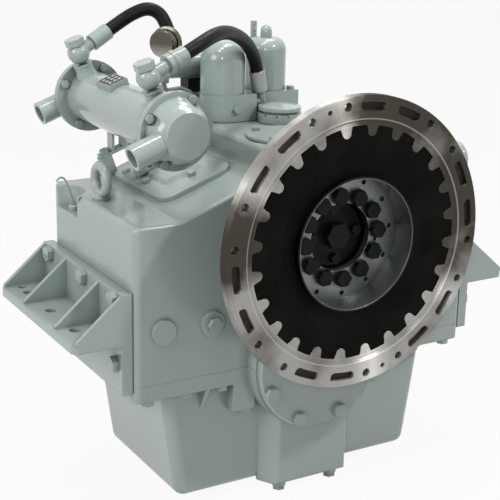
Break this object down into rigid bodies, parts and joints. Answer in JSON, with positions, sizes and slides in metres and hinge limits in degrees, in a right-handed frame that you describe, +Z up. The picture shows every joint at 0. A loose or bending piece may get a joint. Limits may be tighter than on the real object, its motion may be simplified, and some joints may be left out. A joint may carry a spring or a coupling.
{
  "type": "marine gearbox",
  "caption": "Marine reversing gearbox with a toothed drive ring on a rubber coupling, side mounting brackets, oil cooler with hoses, control block and rear output flange",
  "frame": {"origin": "centre of the drive ring front face, on the input axis", "axes": "+X to the right seen from the drive ring, +Y aft along the input axis into the gearbox, +Z up"},
  "size_m": [0.838, 0.535, 0.7889],
  "materials": {
    "enamel": "gloss enamel",
    "ring_steel": "turned",
    "inner_steel": "ground",
    "black_steel": "black oxide",
    "rubber": "matte",
    "hose_rubber": "satin",
    "gauge_steel": "polished",
    "glass": "clear",
    "coil": "moulded"
  },
  "bodies": {
    "case": {"block_elbow": "enamel", "bracket_bolts": "enamel", "case_plugs": "enamel", "control_block": "enamel", "cooler_bolts": "enamel", "cooler_bracket_bolts": "enamel", "cooler_brackets": "enamel", "cooler_cap_front": "enamel", "cooler_cap_rear": "enamel", "cooler_shell": "enamel", "cover_bolts": "enamel", "crown_bolts": "enamel", "crown_cover": "enamel", "dome_cover": "enamel", "eye_bolts": "enamel", "filter_housing": "enamel", "filter_nut": "enamel", "front_hose": "hose_rubber", "gauge_case": "gauge_steel", "gauge_glass": "glass", "gauge_pipe": "enamel", "hose_cuffs": "enamel", "hose_unions": "enamel", "input_covers_front": "enamel", "inspection_bolts": "enamel", "inspection_cover": "enamel", "lever_pivot": "enamel", "lower_case": "enamel", "output_cover_front": "enamel", "plate_saddle": "enamel", "rear_covers": "enamel", "rear_hose": "hose_rubber", "rear_valve": "enamel", "shaft_bearings": "inner_steel", "side_bracket_left": "enamel", "side_bracket_right": "enamel", "split_bolts": "enamel", "upper_case": "enamel", "valve_coil": "coil"},
    "input": {"drive_ring": "ring_steel", "rubber_disc": "rubber", "coupling_cup": "ring_steel", "input_hub": "inner_steel", "hub_bolts": "black_steel", "shaft_retainer": "inner_steel", "input_shaft": "inner_steel", "ahead_clutch": "inner_steel", "transfer_gear_input": "inner_steel", "ahead_pinion": "inner_steel"},
    "counter": {"counter_shaft": "inner_steel", "astern_clutch": "inner_steel", "transfer_gear_counter": "inner_steel"},
    "astern": {"astern_pinion": "inner_steel"},
    "output": {"output_gear": "inner_steel", "output_shaft": "inner_steel", "output_flange": "inner_steel"},
    "lever": {"control_lever": "enamel"},
    "dipstick": {"dipstick": "enamel"},
    "filler_cap": {"filler_cap": "enamel"}
  },
  "joints": [
    {"name": "input_spin", "type": "hinge", "parent": "case", "child": "input", "pos_m": [0, 0, 0], "axis": [0, 1, 0], "continuous": true},
    {"name": "counter_spin", "type": "hinge", "parent": "case", "child": "counter", "pos_m": [0.17365, 0, -0.08192], "axis": [0, 1, 0], "continuous": true},
    {"name": "astern_pinion_spin", "type": "hinge", "parent": "case", "child": "astern", "pos_m": [0.17365, 0, -0.08192], "axis": [0, 1, 0], "continuous": true},
    {"name": "output_spin", "type": "hinge", "parent": "case", "child": "output", "pos_m": [0, 0, -0.225], "axis": [0, 1, 0], "continuous": true},
    {"name": "lever_swing", "type": "hinge", "parent": "case", "child": "lever", "pos_m": [0.07, 0.447, 0.153], "axis": [0, 1, 0], "range_deg": [-30, 30]},
    {"name": "dipstick_pull", "type": "slide", "parent": "case", "child": "dipstick", "axis": [0, 0, 1], "range_m": [0, 0.15]},
    {"name": "filler_cap_turn", "type": "hinge", "parent": "case", "child": "filler_cap", "pos_m": [0.042, 0.307, 0.154], "axis": [0, 0, 1], "range_deg": [0, 90]}
  ],
  "couplings": [
    {"joint": "counter_spin", "follows": "input_spin", "ratio": -1},
    {"joint": "astern_pinion_spin", "follows": "input_spin", "ratio": 1},
    {"joint": "output_spin", "follows": "input_spin", "ratio": -0.38889}
  ]
}
